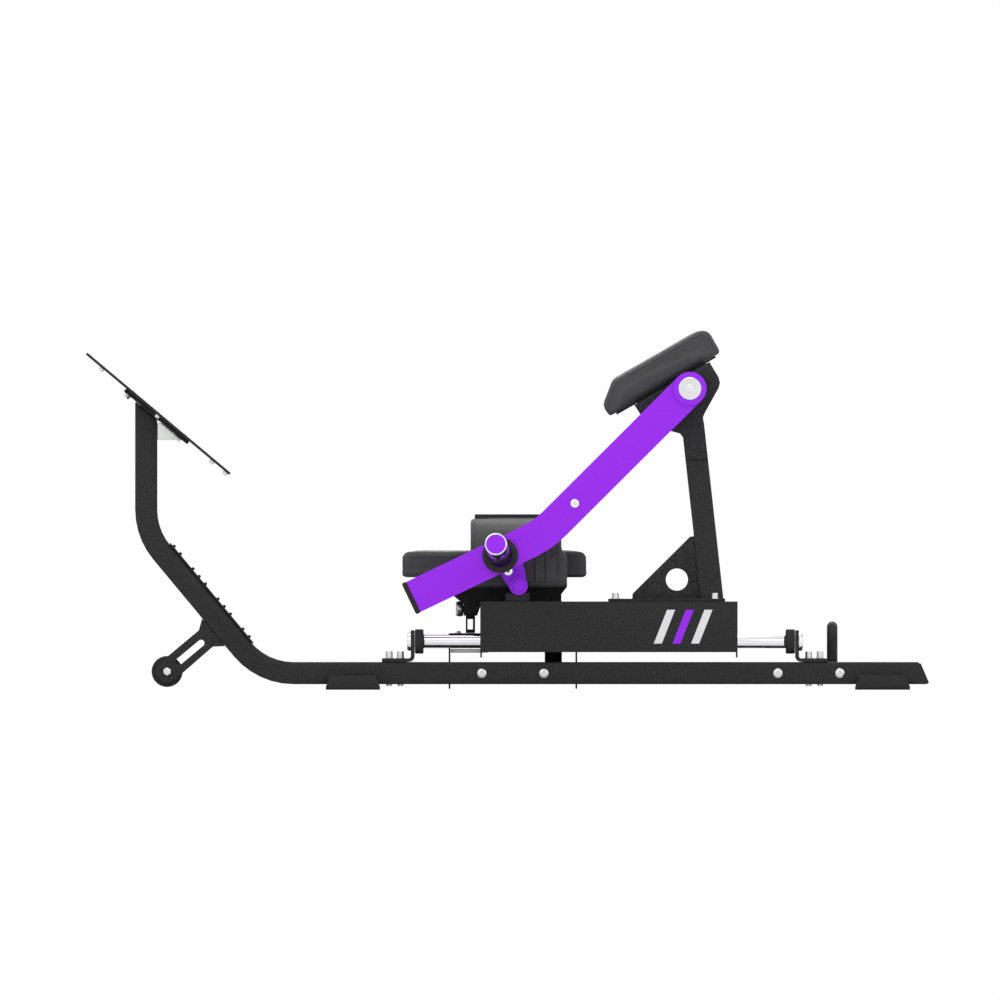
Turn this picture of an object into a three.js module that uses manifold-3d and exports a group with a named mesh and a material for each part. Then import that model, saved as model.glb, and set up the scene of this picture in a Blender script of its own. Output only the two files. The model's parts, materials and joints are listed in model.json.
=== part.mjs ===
// Hip thrust machine, millimetres, +Z up, +X towards the back pad, standing on Z = 0.
// Two bent side rails carry a sliding carriage on two guide rods. The carriage carries the
// uprights, the back pad and the lever arms that lift the hip belt and the plate sleeves.
import * as THREE from 'three';
import { mergeVertices } from 'three/addons/utils/BufferGeometryUtils.js';
import Module from 'manifold-3d';

const wasm = await Module();
wasm.setup();

// ---- driving dimensions -------------------------------------------------------------------
const GAP = 0.3;                      // clearance between touching pieces
const HALF_LENGTH = 948.5;            // half of the overall length
const SIDE_Y = 210;                   // rails, rods and uprights, centre plane
const TUBE = 50;                      // side rail and upright section
const RAIL_Z = 37.5;                  // centre height of the straight rail
const BEND_LOW = [-551, 37.5];        // centreline corners of the bent rail
const BEND_HIGH = [-812, 351];
const BEND_R = 150;
const PLATE_TILT = THREE.MathUtils.degToRad(40);
const PLATE_T = 6;
const PLATE_TOP = [-HALF_LENGTH + PLATE_T * Math.sin(PLATE_TILT), 759];
const PLATE_LENGTH = 422;
const PLATE_HALF_WIDTH = 300;
const BACKING_T = 8;
const AXLE = [-765, 41.2];            // transport wheel axle
const WHEEL_R = 35;
const ROD_Z = 108.7;
const ROD_R = 15;
const ROD_FRONT = -207.7;
const ROD_REAR = 647.7;
const SEAT_X = [-236.3, 178.7];
const SEAT_Z = [253, 313.7];
const SEAT_HALF_WIDTH = 160;
const MAST_X = [-93, -72];
const POST_X = [84.6, 123.3];         // rear seat guide tube
const PIN_Z = 182;
const PIN_R = 5;
const SEAT_TRAVEL = 25;               // seat height range, set by the mast's slot
const BOX_X = [-60.5, 518.6];         // carriage side box
const BOX_Z = [84.6, 198.7];
const BOX_Y = [170, 250];
const SHEET = 4;
const PIVOT = [411.3, 677.9];
const PIVOT_R = 15;
const PAD_TILT = THREE.MathUtils.degToRad(30);
const PAD_HALF_WIDTH = 220;
const ARM_CORNER = [80.8, 348.5];
const ARM_END = [-210.8, 208.9];
const ARM_HEIGHT = 75;
const ARM_Y = [252.5, 292.5];
const ARM_BEND_R = 220;
const LUG = [25.7, 233.8];            // round lower end of the arm lug
const LUG_R = 20.7;
const SLEEVE_BASE = [-15.5, 302.6];
const SLEEVE_R = 25;
const SLEEVE_END_Y = 555;
const SLEEVE_RISE = [-9.9, 25.2];     // sideways and upward drift of the sleeve's outer end
const BELT_Z = [231, 387];
const BELT_Y = [180, 215];

// ---- materials ----------------------------------------------------------------------------
const FINISH = {
  powder_coat: [0x303030, 0.3, 0.6],
  purple_coat: [0x7a1fd6, 0.3, 0.45],
  chrome: [0xd8d8dc, 1.0, 0.12],
  zinc: [0xc8cac8, 0.9, 0.35],
  pad_vinyl: [0x3a3a3c, 0.0, 0.6],
  seat_vinyl: [0x222224, 0.0, 0.65],
  rubber: [0x1c1c1c, 0.0, 0.85],
};

// ---- geometry helpers ---------------------------------------------------------------------
function toSolid(geometry) {
  const bare = new THREE.BufferGeometry();
  bare.setAttribute('position', geometry.getAttribute('position'));
  if (geometry.index) bare.setIndex(geometry.index);
  const welded = mergeVertices(bare, 1e-4);
  return new wasm.Manifold(new wasm.Mesh({
    numProp: 3,
    vertProperties: new Float32Array(welded.getAttribute('position').array),
    triVerts: new Uint32Array(welded.index.array),
  }));
}

function join(first, ...others) {
  return others.reduce((sum, other) => sum.add(other), first);
}

function cut(body, ...tools) {
  return tools.reduce((rest, tool) => rest.subtract(tool), body);
}

// Corner list [x, z, radius] to a polygon with true arcs.
function rounded(corners) {
  const points = [];
  corners.forEach(([x, z, radius = 0], i) => {
    const here = new THREE.Vector2(x, z);
    if (radius === 0) {
      points.push(here);
      return;
    }
    const before = new THREE.Vector2(...corners.at(i - 1));
    const after = new THREE.Vector2(...corners[(i + 1) % corners.length]);
    points.push(...arcAt(before, here, after, radius));
  });
  return points;
}

// Points of the fillet arc at one corner, with exact tangency at both ends.
function arcAt(before, here, after, radius) {
  const into = here.clone().sub(before).normalize();
  const out = after.clone().sub(here).normalize();
  const turn = Math.atan2(into.cross(out), into.dot(out));
  const reach = radius * Math.tan(Math.abs(turn) / 2);
  const start = here.clone().addScaledVector(into, -reach);
  const side = Math.sign(turn);
  const centre = new THREE.Vector2(-into.y * side, into.x * side).multiplyScalar(radius).add(start);
  const steps = Math.max(2, Math.ceil(Math.abs(turn) / (radius > 100 ? 0.15 : 0.3)));
  const arc = [];
  for (let k = 0; k <= steps; k += 1) {
    arc.push(start.clone().rotateAround(centre, (turn * k) / steps));
  }
  return arc;
}

// Side profile in the XZ plane, extruded from y0 to y1.
function profile(points, y0, y1) {
  const list = points.map((p) => (p.isVector2 ? p : new THREE.Vector2(...p)));
  const shape = new THREE.Shape(list);
  const geometry = new THREE.ExtrudeGeometry(shape, { depth: y1 - y0, bevelEnabled: false });
  geometry.rotateX(Math.PI / 2);
  geometry.translate(0, y1, 0);
  return toSolid(geometry);
}

// Front profile in the YZ plane, extruded from x0 to x1.
function frontProfile(points, x0, x1) {
  const shape = new THREE.Shape(points);
  const geometry = new THREE.ExtrudeGeometry(shape, { depth: x1 - x0, bevelEnabled: false });
  geometry.rotateX(Math.PI / 2);
  geometry.rotateZ(Math.PI / 2);
  geometry.translate(x0, 0, 0);
  return toSolid(geometry);
}

// Edges of a constant-height bar that follows a centreline of corners [x, z, radius].
function barEdges(corners, height) {
  const centre = [];
  corners.forEach(([x, z, radius = 0], i) => {
    const here = new THREE.Vector2(x, z);
    if (radius === 0) {
      centre.push(here);
      return;
    }
    const before = new THREE.Vector2(...corners[i - 1]);
    const after = new THREE.Vector2(...corners[i + 1]);
    centre.push(...arcAt(before, here, after, radius));
  });
  const left = [];
  const right = [];
  centre.forEach((point, i) => {
    const back = centre[Math.max(i - 1, 0)];
    const ahead = centre[Math.min(i + 1, centre.length - 1)];
    const along = ahead.clone().sub(back).normalize();
    const across = new THREE.Vector2(-along.y, along.x).multiplyScalar(height / 2);
    left.push(point.clone().add(across));
    right.push(point.clone().sub(across));
  });
  return { left, right };
}

function box(x0, x1, y0, y1, z0, z1) {
  const geometry = new THREE.BoxGeometry(x1 - x0, y1 - y0, z1 - z0);
  geometry.translate((x0 + x1) / 2, (y0 + y1) / 2, (z0 + z1) / 2);
  return toSolid(geometry);
}

// Round bar between two points.
function bar(from, to, radius, segments = 24) {
  const start = new THREE.Vector3(...from);
  const reach = new THREE.Vector3(...to).sub(start);
  const geometry = new THREE.CylinderGeometry(radius, radius, reach.length(), segments);
  geometry.translate(0, reach.length() / 2, 0);
  const turn = new THREE.Quaternion().setFromUnitVectors(new THREE.Vector3(0, 1, 0), reach.normalize());
  geometry.applyQuaternion(turn);
  geometry.translate(start.x, start.y, start.z);
  return toSolid(geometry);
}

function barY([x, z], radius, y0, y1, segments = 24) {
  return bar([x, y0, z], [x, y1, z], radius, segments);
}

function barX(y, z, radius, x0, x1, segments = 24) {
  return bar([x0, y, z], [x1, y, z], radius, segments);
}

// A flat rounded sheet built level, then tilted about Y and set down at [x, z].
function tilted(points, thickness, tilt, [x, z]) {
  const geometry = new THREE.ExtrudeGeometry(new THREE.Shape(points), { depth: thickness, bevelEnabled: false });
  geometry.rotateY(tilt);
  geometry.translate(x, 0, z);
  return toSolid(geometry);
}

// Range from the middle outwards on the left (+1) or the right (-1) side.
function span(side, inner, outer) {
  return side > 0 ? [inner, outer] : [-outer, -inner];
}

// Point at a distance along and away from a base point, in a frame turned by an angle.
function local([x, z], angle, along, away) {
  return [
    x + along * Math.cos(angle) - away * Math.sin(angle),
    z + along * Math.sin(angle) + away * Math.cos(angle),
  ];
}

// Height of a line parallel to the foot plate, a given depth under its front face.
function underPlate(x, depth) {
  return PLATE_TOP[1] - (x - PLATE_TOP[0]) * Math.tan(PLATE_TILT) - depth / Math.cos(PLATE_TILT);
}

// ---- base frame ---------------------------------------------------------------------------
function sideRail(side) {
  const rearEnd = HALF_LENGTH - 11;
  const corners = [[rearEnd, RAIL_Z], [...BEND_LOW, BEND_R], [...BEND_HIGH, BEND_R], [BEND_HIGH[0], 600]];
  const { left, right } = barEdges(corners, TUBE);
  const depth = PLATE_T + BACKING_T + 2 * GAP;
  left[0].x = HALF_LENGTH;
  right[0].x = HALF_LENGTH - 21.5;
  left.at(-1).y = underPlate(left.at(-1).x, depth);
  right.at(-1).y = underPlate(right.at(-1).x, depth);
  return profile([...right, ...left.reverse()], ...span(side, SIDE_Y - TUBE / 2, SIDE_Y + TUBE / 2));
}

function foot(side, x0, x1) {
  const outline = [[154, 0, 8], [266, 0, 8], [261.5, 31.7, 4], [158.5, 31.7, 4]];
  const mirrored = side > 0 ? outline : outline.map(([y, z, r]) => [-y, z, r]).reverse();
  const block = frontProfile(rounded(mirrored), x0, x1);
  const [y0, y1] = span(side, SIDE_Y - TUBE / 2 - GAP, SIDE_Y + TUBE / 2 + GAP);
  const sloped = (end, into) => profile([[end, 7], [end + into, 33], [end, 33]], -300, 300);
  const channel = box(x0 - 1, x1 + 1, y0, y1, 12.5 - GAP, 40);
  return cut(block, channel, sloped(x0, 10), sloped(x1, -10));
}

function plateOutline(u0, u1, halfWidth, radius) {
  return rounded([
    [u0, -halfWidth, radius], [u1, -halfWidth, radius], [u1, halfWidth, radius], [u0, halfWidth, radius],
  ]);
}

function footPlate() {
  const base = local(PLATE_TOP, -PLATE_TILT, 0, -PLATE_T);
  return tilted(plateOutline(0, PLATE_LENGTH, PLATE_HALF_WIDTH, 30), PLATE_T, PLATE_TILT, base);
}

function footPlateBacking() {
  const base = local(PLATE_TOP, -PLATE_TILT, 0, -PLATE_T - GAP - BACKING_T);
  return tilted(plateOutline(119, 305, 240, 6), BACKING_T, PLATE_TILT, base);
}

function footPlateStrut(side) {
  const x0 = BEND_HIGH[0] + TUBE / 2 + GAP;
  const depth = PLATE_T + BACKING_T + 2 * GAP;
  const topX = x0 + 9;
  const lowX = topX + 45;
  const points = [
    [x0, underPlate(lowX, depth)], [lowX, underPlate(lowX, depth)],
    [topX, underPlate(topX, depth)], [x0, underPlate(topX, depth)],
  ];
  return profile(points, ...span(side, SIDE_Y - 20, SIDE_Y + 20));
}

// Direction of the slanted stretch and a point on it, measured up from the low bend.
const SLANT = Math.atan2(BEND_HIGH[1] - BEND_LOW[1], BEND_HIGH[0] - BEND_LOW[0]);
const onSlant = (along, above) => local(BEND_LOW, SLANT, along, -above);

function treadPlate() {
  const points = [onSlant(64, 26.3), onSlant(358, 26.3), onSlant(358, 29.1), onSlant(64, 29.1)];
  return profile(points.reverse(), -240, 240);
}

function wheelBracket(side) {
  const armTilt = Math.atan2(0.64, 0.768);
  const onArm = (along, away) => local(AXLE, armTilt, along, away);
  const roundEnd = [];
  for (let k = 0; k <= 8; k += 1) {
    roundEnd.push(local(AXLE, armTilt + Math.PI / 2 + (k * Math.PI) / 8, 25.5, 0));
  }
  const outline = [
    ...roundEnd, [-662, 97], onSlant(100, -25.4), onSlant(181, -25.4), onArm(114, 25.5),
  ];
  const [y0, y1] = span(side, SIDE_Y - 20, SIDE_Y + 20);
  const [in0, in1] = span(side, SIDE_Y - 15, SIDE_Y + 15);
  const blank = profile(outline, y0, y1);
  const wheelSpace = [onSlant(20, -31), onSlant(260, -31), onSlant(260, -260), onSlant(20, -260)];
  const fork = cut(blank, profile(wheelSpace.reverse(), in0, in1));
  const slot = rounded([
    [...onArm(27, -7.5), 7.4], [...onArm(107, -7.5), 7.4], [...onArm(107, 7.5), 7.4], [...onArm(27, 7.5), 7.4],
  ]);
  return cut(fork, profile(slot, y0 - 1, y1 + 1), barY(AXLE, 6.4, y0 - 1, y1 + 1));
}

function wheelAxle(side) {
  const [y0, y1] = span(side, SIDE_Y - 25, SIDE_Y + 25);
  return join(
    barY(AXLE, 6, y0, y1),
    barY(AXLE, 9.6, y0, y0 + 4.6, 6),
    barY(AXLE, 9.6, y1 - 4.6, y1, 6),
  );
}

function transportWheel(side) {
  const [y0, y1] = span(side, SIDE_Y - 13, SIDE_Y + 13);
  const wheel = join(barY(AXLE, WHEEL_R - 3, y0, y1, 32), barY(AXLE, WHEEL_R, y0 + 3, y1 - 3, 32));
  return cut(wheel, barY(AXLE, 6.4, y0 - 1, y1 + 1));
}

// Open-bottomed pressed tray that bolts between the rails.
function crossTray(x0, x1, topZ, lowZ, halfWidth) {
  const inner = SIDE_Y - TUBE / 2 - GAP;
  const shell = cut(
    box(x0, x1, -halfWidth, halfWidth, lowZ, topZ),
    box(x0 + SHEET, x1 - SHEET, -halfWidth - 1, halfWidth + 1, lowZ - 1, topZ - SHEET),
  );
  const outer = box(x0, x1, -inner, inner, lowZ, 62);
  const hollow = box(x0 + SHEET, x1 - SHEET, -inner + SHEET, inner - SHEET, lowZ - 1, 63);
  const underRail = box(x0 + SHEET, x1 - SHEET, -inner - 1, inner + 1, lowZ - 1, 14);
  return cut(join(shell, cut(outer, hollow)), underRail);
}

function seatBase() {
  const web = [POST_X[0] - GAP, POST_X[1] + GAP, -19.6, 19.6, 100, 140];
  return cut(crossTray(-131.6, 157.7, 127.4, 2.2, 165), box(...web));
}

function rearCrossMember() {
  return crossTray(590, 770, 62, 14, SIDE_Y - TUBE / 2 - GAP);
}

function liftHandle() {
  const radius = 12;
  const corners = [[-60, 62.3], [-60, 142.4, 36], [60, 142.4, 36], [60, 62.3]];
  const { left, right } = barEdges(corners, 0.001);
  const path = left.map((p, i) => p.clone().add(right[i]).multiplyScalar(0.5));
  const segments = 12;
  const rings = path.map((p, i) => {
    const back = path[Math.max(i - 1, 0)];
    const ahead = path[Math.min(i + 1, path.length - 1)];
    const along = ahead.clone().sub(back).normalize();
    if (i === 0 || i === path.length - 1) along.set(0, i === 0 ? 1 : -1);
    return Array.from({ length: segments }, (_, k) => {
      const turn = (2 * Math.PI * k) / segments;
      const away = radius * Math.sin(turn);
      return [731.4 + radius * Math.cos(turn), p.x + away * along.y, p.y - away * along.x];
    });
  });
  return ringSolid(rings);
}

// Closed solid through a list of equal rings, with flat ends.
function ringSolid(rings) {
  const count = rings[0].length;
  const faces = [];
  for (let i = 0; i + 1 < rings.length; i += 1) {
    for (let k = 0; k < count; k += 1) {
      const a = i * count + k;
      const b = i * count + ((k + 1) % count);
      faces.push(a, b, b + count, a, b + count, a + count);
    }
  }
  const last = (rings.length - 1) * count;
  for (let k = 1; k + 1 < count; k += 1) {
    faces.push(0, k + 1, k, last, last + k, last + k + 1);
  }
  const geometry = new THREE.BufferGeometry();
  geometry.setAttribute('position', new THREE.Float32BufferAttribute(rings.flat(2), 3));
  geometry.setIndex(faces);
  return toSolid(geometry);
}

// ---- guide rods ---------------------------------------------------------------------------
function guideRod(side) {
  return barX(side * SIDE_Y, ROD_Z, ROD_R, ROD_FRONT, ROD_REAR);
}

// L bracket that stands on the rail. The upright leg faces the rod end at x.
function rodBracket(side, x, outward) {
  const reach = (d) => x + outward * d;
  const points = [
    [reach(0.3), 62.8, 13], [reach(74), 62.8], [reach(74), 70.8], [reach(9), 70.8, 5], [reach(9), 134],
    [reach(0.3), 134],
  ];
  const outline = outward > 0 ? points : points.reverse();
  return profile(rounded(outline), ...span(side, SIDE_Y - 25, SIDE_Y + 25));
}

function rodBumper(side, x0, x1) {
  const y = side * SIDE_Y;
  return cut(barX(y, ROD_Z, 27.5, x0, x1), barX(y, ROD_Z, ROD_R + 0.4, x0 - 1, x1 + 1));
}

// ---- seat ---------------------------------------------------------------------------------
function seatMast() {
  const [x0, x1] = MAST_X;
  const half = PIN_R + 0.5;
  const slot = box(x0 - 1, x0 + 12, -half, half, PIN_Z - half, PIN_Z + SEAT_TRAVEL + half);
  return cut(box(x0, x1, -22, 22, 127.7, 218), box(-89, -77, -23, 23, 136, 159), slot);
}

function seatGuideTube() {
  const [x0, x1] = POST_X;
  const tube = box(x0, x1, -19.35, 19.35, 13, 200);
  const flange = box(70, 138, -34, 34, 127.7, 131.7);
  const bore = box(x0 + 3, x1 - 3, -16.35, 16.35, 12, 210);
  return cut(join(tube, flange), bore);
}

function seatFrame() {
  const [m0, m1] = [MAST_X[0] - 0.6, MAST_X[1] + 0.6];
  const plate = box(-121, 135, -120, 120, 246, 252.6);
  const sleeve = box(m0 - SHEET, m1 + SHEET, -26.6, 26.6, 166.7, 248);
  const outline = [
    [-98, 166.7], [-67.4, 166.7], [-60, 188], [122, 188], [122, 215], [135, 232], [135, 248], [-121, 248],
    [-121, 211.5], [-98, 192.6],
  ];
  const cheeks = join(profile(outline, -30, -26), profile(outline, 26, 30));
  const post = box(POST_X[0] + 3.4, POST_X[1] - 3.4, -15.95, 15.95, 60, 248);
  const cavity = box(m0, m1, -22.6, 22.6, 160, 246);
  const pinHole = barX(0, PIN_Z, PIN_R + 0.4, m0 - 10, m0 + 1);
  return cut(join(plate, sleeve, cheeks, post), cavity, pinHole);
}

function seatPin() {
  const tip = MAST_X[0] + 9;
  return join(barX(0, PIN_Z, PIN_R, -110, tip), barX(0, PIN_Z, 17, -115.6, -98.6, 28));
}

function seatCushion() {
  const [x0, x1] = SEAT_X;
  const outline = [[x0, SEAT_Z[0], 6], [x1, SEAT_Z[0], 6], [x1, SEAT_Z[1], 16], [x0, SEAT_Z[1], 16]];
  return profile(rounded(outline), -SEAT_HALF_WIDTH, SEAT_HALF_WIDTH);
}

// ---- carriage -----------------------------------------------------------------------------
function carriageSide(side) {
  const [x0, x1] = BOX_X;
  const [y0, y1] = span(side, ...BOX_Y);
  const shell = join(
    box(x0, x1, y0, y1, ...BOX_Z),
    box(x0, x0 + SHEET, y0, y1, 72.5, 100),
    box(x1 - SHEET, x1, y0, y1, 72.5, 100),
  );
  return cut(
    shell,
    box(x0 + SHEET, x1 - SHEET, y0 + 3, y1 - 3, 60, BOX_Z[1] - SHEET),
    barX(side * SIDE_Y, ROD_Z, ROD_R + 3, x0 - 1, x1 + 1),
  );
}

function linearBearing(side, x0) {
  const y = side * SIDE_Y;
  const block = box(x0, x0 + 70, y - 22, y + 22, 87, BOX_Z[1] - SHEET - GAP);
  return cut(block, barX(y, ROD_Z, ROD_R + 0.4, x0 - 1, x0 + 71));
}

function carriageTray() {
  const inner = BOX_Y[0] - GAP;
  return cut(
    box(310, 510, -inner, inner, 110, 176),
    box(310 + SHEET, 510 - SHEET, -inner - 1, inner + 1, 100, 176 - SHEET),
  );
}

function upright(side) {
  const base = 198.7 + GAP;
  const flange = box(227, 491, ...span(side, 172, 248), base, 205);
  const post = profile(
    [[436, 203], [487, 203], [442.5, 605], [391.5, 605]],
    ...span(side, SIDE_Y - TUBE / 2, SIDE_Y + TUBE / 2),
  );
  const gusset = profile(
    [[282, 204], [445, 204], [430, 345], [412, 345], [282, 216]],
    ...span(side, SIDE_Y - 3, SIDE_Y + 3),
  );
  return cut(join(flange, post, gusset), barY([382, 248], 25, ...span(side, 190, 234)));
}

function headPlate(side) {
  const outline = [
    [286, 641], [299.5, 620], [370, 581.6], [388.6, 576.5], [396, 567.5], [404, 520], [448, 520],
    [441, 614], [446, 625], [476, 679], [479, 691], [476, 703], [455, 738],
  ];
  const plate = profile(outline, ...span(side, 235.3, 243.3));
  const onPad = (along, away) => local(PIVOT, PAD_TILT, along, away);
  const ledge = profile(
    [onPad(-120, 26.7), onPad(60, 26.7), onPad(60, 30.7), onPad(-120, 30.7)],
    ...span(side, 188, 240),
  );
  return cut(join(plate, ledge), barY(PIVOT, PIVOT_R + 0.4, ...span(side, 180, 250)));
}

function postCrossTube() {
  return barY([455.6, 265.7], 19, -SIDE_Y + TUBE / 2 + GAP, SIDE_Y - TUBE / 2 - GAP);
}

function pivotShaft() {
  return barY(PIVOT, PIVOT_R, -296, 296);
}

function backPadBoard() {
  const onPad = (along, away) => local(PIVOT, PAD_TILT, along, away);
  const points = [onPad(-172, 31), onPad(86, 31), onPad(86, 35.1), onPad(-172, 35.1)];
  return profile(points, -PAD_HALF_WIDTH + 12, PAD_HALF_WIDTH - 12);
}

function backPad() {
  const onPad = (along, away, radius) => [...local(PIVOT, PAD_TILT, along, away), radius];
  const outline = [
    onPad(-188, 35.4, 8), onPad(100, 35.4, 8), onPad(100, 102, 22), onPad(-142.5, 102, 12),
    onPad(-188, 65, 12),
  ];
  return profile(rounded(outline), -PAD_HALF_WIDTH, PAD_HALF_WIDTH);
}

function armRest(side) {
  const [y0, y1] = span(side, 216, 248);
  const block = box(-4, 50.6, y0, y1, 198.7 + GAP, 217.4);
  return cut(block, barY(LUG, LUG_R + 0.5, y0 - 1, y1 + 1, 32));
}

// ---- lever --------------------------------------------------------------------------------
function leverArm(side) {
  const { left, right } = barEdges([PIVOT, [...ARM_CORNER, ARM_BEND_R], ARM_END], ARM_HEIGHT);
  const beam = profile([...right, ...left.reverse()].reverse(), ...span(side, ...ARM_Y));
  const hub = barY(PIVOT, ARM_HEIGHT / 2, ...span(side, 246, 300), 32);
  const lugOutline = [[-14, 275], [-14, 258], [7, 225.5], [46, 231], [37, 282], [37, 300], [20, 300]];
  const lug = join(
    profile(lugOutline, ...span(side, 224, 236)),
    barY(LUG, LUG_R, ...span(side, 224, 246), 32),
    profile([[-10, 272], [36, 272], [36, 300], [-10, 290]], ...span(side, 234, 254)),
  );
  return cut(join(beam, hub, lug), barY(PIVOT, PIVOT_R + 0.4, ...span(side, 240, 310)));
}

function weightSleeve(side) {
  const start = ARM_Y[1] + GAP;
  const reach = SLEEVE_END_Y - start;
  const onAxis = (y) => {
    const share = (y - start) / reach;
    return [
      SLEEVE_BASE[0] + share * SLEEVE_RISE[0], side * y, SLEEVE_BASE[1] + share * SLEEVE_RISE[1],
    ];
  };
  const sleeve = bar(onAxis(start - 10), onAxis(SLEEVE_END_Y), SLEEVE_R, 32);
  return cut(sleeve, box(-200, 200, ...span(side, 200, start), 200, 400));
}

function plateCollar(side) {
  const [y0, y1] = span(side, ARM_Y[1] + GAP, ARM_Y[1] + 12.3);
  const disc = barY(SLEEVE_BASE, 40, y0, y1, 32);
  const hole = barY(SLEEVE_BASE, SLEEVE_R + 1.4, y0 - 1, y1 + 1, 32);
  return cut(disc, hole);
}

function hipBelt() {
  const [z0, z1] = BELT_Z;
  const [inner, outer] = BELT_Y;
  const crown = z1 - 42;
  const arch = rounded([
    [-outer, z0, 8], [-inner, z0, 8], [-inner, crown, 30], [inner, crown, 30], [inner, z0, 8],
    [outer, z0, 8], [outer, z1, 90], [-outer, z1, 90],
  ]);
  const flaps = [1, -1].map((side) => profile(
    rounded([[-91, z0, 12], [135, z0, 12], [135, 318, 24], [-91, 318, 24]]),
    ...span(side, inner, outer),
  ));
  return join(frontProfile(arch, -83, 122), ...flaps);
}

// ---- assembly -----------------------------------------------------------------------------
const group = new THREE.Group();
group.name = 'hip_thrust_machine';

function place(name, finish, solid) {
  const data = solid.getMesh();
  const geometry = new THREE.BufferGeometry();
  geometry.setAttribute('position', new THREE.BufferAttribute(new Float32Array(data.vertProperties), 3));
  geometry.setIndex(new THREE.BufferAttribute(new Uint32Array(data.triVerts), 1));
  geometry.computeVertexNormals();
  const [color, metalness, roughness] = FINISH[finish];
  const material = new THREE.MeshStandardMaterial({ color, metalness, roughness, flatShading: true });
  material.name = finish;
  const mesh = new THREE.Mesh(geometry, material);
  mesh.name = name;
  group.add(mesh);
}

place('foot_plate', 'powder_coat', footPlate());
place('foot_plate_backing', 'powder_coat', footPlateBacking());
place('tread_plate', 'powder_coat', treadPlate());
place('seat_base', 'powder_coat', seatBase());
place('seat_mast', 'powder_coat', seatMast());
place('seat_guide_tube', 'powder_coat', seatGuideTube());
place('rear_cross_member', 'powder_coat', rearCrossMember());
place('lift_handle', 'powder_coat', liftHandle());
place('seat_frame', 'powder_coat', seatFrame());
place('seat_cushion', 'seat_vinyl', seatCushion());
place('seat_pin', 'zinc', seatPin());
place('carriage_tray', 'powder_coat', carriageTray());
place('post_cross_tube', 'powder_coat', postCrossTube());
place('pivot_shaft', 'chrome', pivotShaft());
place('back_pad_board', 'powder_coat', backPadBoard());
place('back_pad', 'pad_vinyl', backPad());
place('hip_belt', 'seat_vinyl', hipBelt());

for (const [label, side] of [['left', 1], ['right', -1]]) {
  place(`side_rail_${label}`, 'powder_coat', sideRail(side));
  place(`foot_front_${label}`, 'rubber', foot(side, -408, -286));
  place(`foot_rear_${label}`, 'rubber', foot(side, 783, 906.5));
  place(`foot_plate_strut_${label}`, 'zinc', footPlateStrut(side));
  place(`wheel_bracket_${label}`, 'powder_coat', wheelBracket(side));
  place(`wheel_axle_${label}`, 'zinc', wheelAxle(side));
  place(`transport_wheel_${label}`, 'rubber', transportWheel(side));
  place(`guide_rod_${label}`, 'chrome', guideRod(side));
  place(`rod_bracket_front_${label}`, 'powder_coat', rodBracket(side, ROD_FRONT, -1));
  place(`rod_bracket_rear_${label}`, 'powder_coat', rodBracket(side, ROD_REAR, 1));
  place(`rod_bumper_front_${label}`, 'rubber', rodBumper(side, -207.5, -188));
  place(`rod_bumper_rear_${label}`, 'rubber', rodBumper(side, 626.6, 647.5));
  place(`carriage_side_${label}`, 'powder_coat', carriageSide(side));
  place(`linear_bearing_front_${label}`, 'zinc', linearBearing(side, -50));
  place(`linear_bearing_rear_${label}`, 'zinc', linearBearing(side, 438));
  place(`upright_${label}`, 'powder_coat', upright(side));
  place(`head_plate_${label}`, 'powder_coat', headPlate(side));
  place(`arm_rest_${label}`, 'rubber', armRest(side));
  place(`lever_arm_${label}`, 'purple_coat', leverArm(side));
  place(`weight_sleeve_${label}`, 'chrome', weightSleeve(side));
  place(`plate_collar_${label}`, 'rubber', plateCollar(side));
}

export default group;
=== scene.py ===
"""Visual model of the hip thrust machine, in metres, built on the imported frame."""
import json
import math

import bmesh
import bpy
from mathutils import Matrix, Vector
from mathutils.bvhtree import BVHTree


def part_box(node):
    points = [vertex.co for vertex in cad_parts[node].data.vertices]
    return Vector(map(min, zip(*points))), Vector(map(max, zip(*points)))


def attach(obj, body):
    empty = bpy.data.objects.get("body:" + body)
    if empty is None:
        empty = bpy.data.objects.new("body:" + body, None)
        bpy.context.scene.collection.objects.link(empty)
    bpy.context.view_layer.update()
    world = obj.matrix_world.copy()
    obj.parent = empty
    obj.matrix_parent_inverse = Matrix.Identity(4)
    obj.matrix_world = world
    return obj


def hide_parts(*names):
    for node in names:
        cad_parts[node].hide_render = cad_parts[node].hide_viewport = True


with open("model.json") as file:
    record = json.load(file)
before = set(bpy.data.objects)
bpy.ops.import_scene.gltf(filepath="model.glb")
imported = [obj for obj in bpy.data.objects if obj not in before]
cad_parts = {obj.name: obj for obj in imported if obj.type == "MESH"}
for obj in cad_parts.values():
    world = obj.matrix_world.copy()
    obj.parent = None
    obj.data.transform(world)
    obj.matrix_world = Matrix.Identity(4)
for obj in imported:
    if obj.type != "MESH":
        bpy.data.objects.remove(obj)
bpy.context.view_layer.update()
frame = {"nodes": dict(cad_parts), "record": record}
NODES = frame["nodes"]
SIDES = (1, -1)                       # left and right
MM = 0.001
SIDE_Y = 0.21                         # middle of each rail, rod and side box
RAIL_HALF = 0.025
RAIL_Z = 0.0375
BEND_LOW_X = -0.551
BEND_HIGH = Vector((-0.812, 0, 0.351))
RAIL_END_X = 0.9485
RAIL_END_SLOPE = math.atan2(0.0215, 2 * RAIL_HALF)
ROD_Z = 0.1087
ROD_ENDS = ((-0.2167, -1), (0.6567, 1))
ROD_BRACKETS_X = (-0.2535, 0.6925)
TRAY_TOP_Z = 0.1274
BOX_TOP_Z = 0.1987
BOX_OUTER_Y = 0.25
PIVOT = Vector((0.4113, 0, 0.6779))
ARM_INNER_Y = 0.2525
ARM_OUTER_Y = 0.2925
ARM_MIDDLE_Y = (ARM_INNER_Y + ARM_OUTER_Y) / 2
ARM_CORNER = Vector((0.0808, 0, 0.3485))
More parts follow.
